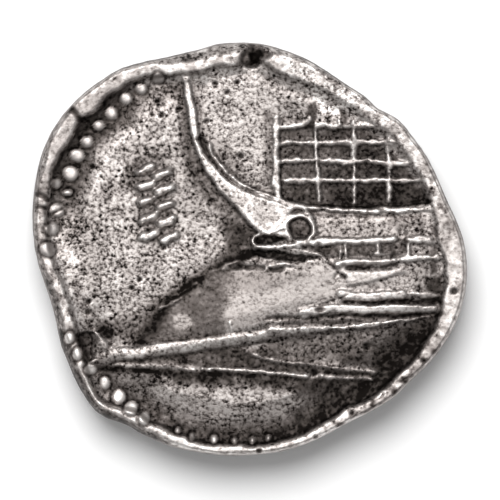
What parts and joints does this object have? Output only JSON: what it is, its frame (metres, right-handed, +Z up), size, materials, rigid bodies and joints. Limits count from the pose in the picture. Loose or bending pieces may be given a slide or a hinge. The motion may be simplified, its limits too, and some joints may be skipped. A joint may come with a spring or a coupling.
{
  "type": "tetradrachm coin",
  "caption": "Thick struck silver coin on an irregular round flan, with a galley's prow in a dotted circle above and a worn lion mask below.",
  "frame": {"origin": "middle of the coin's box, on the surface that it lies on", "axes": "+Z up out of the ship side, +X along the ship from ram to stern, +Y up the picture"},
  "size_m": [0.027, 0.0257, 0.0045],
  "materials": {
    "silver": "worn hand-struck silver, bright on the high points, with dark grey toning and fine pitting in the hollows"
  },
  "bodies": {
    "root": {"coin": "silver"}
  },
  "joints": []
}
